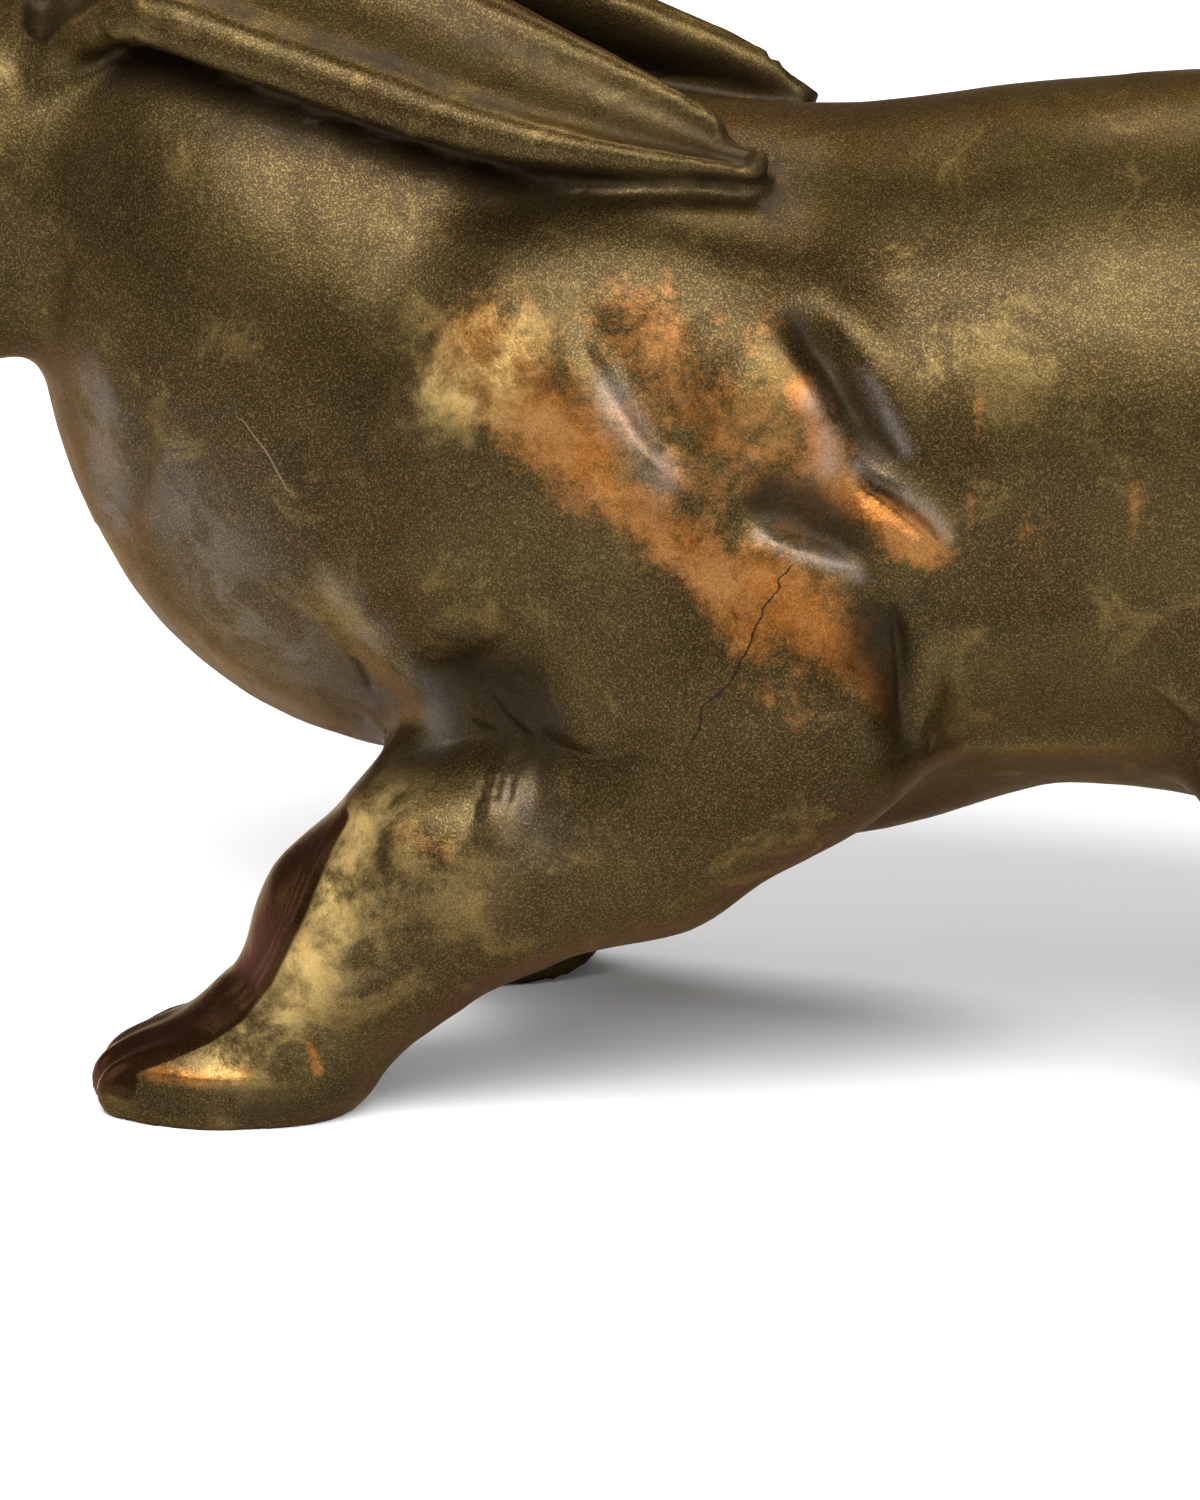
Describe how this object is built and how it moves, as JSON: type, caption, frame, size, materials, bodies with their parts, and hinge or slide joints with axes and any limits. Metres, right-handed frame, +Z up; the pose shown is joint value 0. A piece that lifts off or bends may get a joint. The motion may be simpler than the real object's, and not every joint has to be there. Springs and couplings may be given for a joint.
{
  "type": "bronze rabbit sculpture",
  "caption": "Cast bronze rabbit standing on its own paws, forelegs reaching forward, head raised and ears laid back, with a mottled olive and copper patina.",
  "frame": {"origin": "on the ground, under the middle of the figure's box", "axes": "+Z up, the rabbit faces -X and its left side is -Y"},
  "size_m": [0.3474, 0.1226, 0.1812],
  "materials": {
    "bronze": "olive-brown patina with copper patches, satin"
  },
  "bodies": {
    "root": {"rabbit": "bronze"}
  },
  "joints": []
}
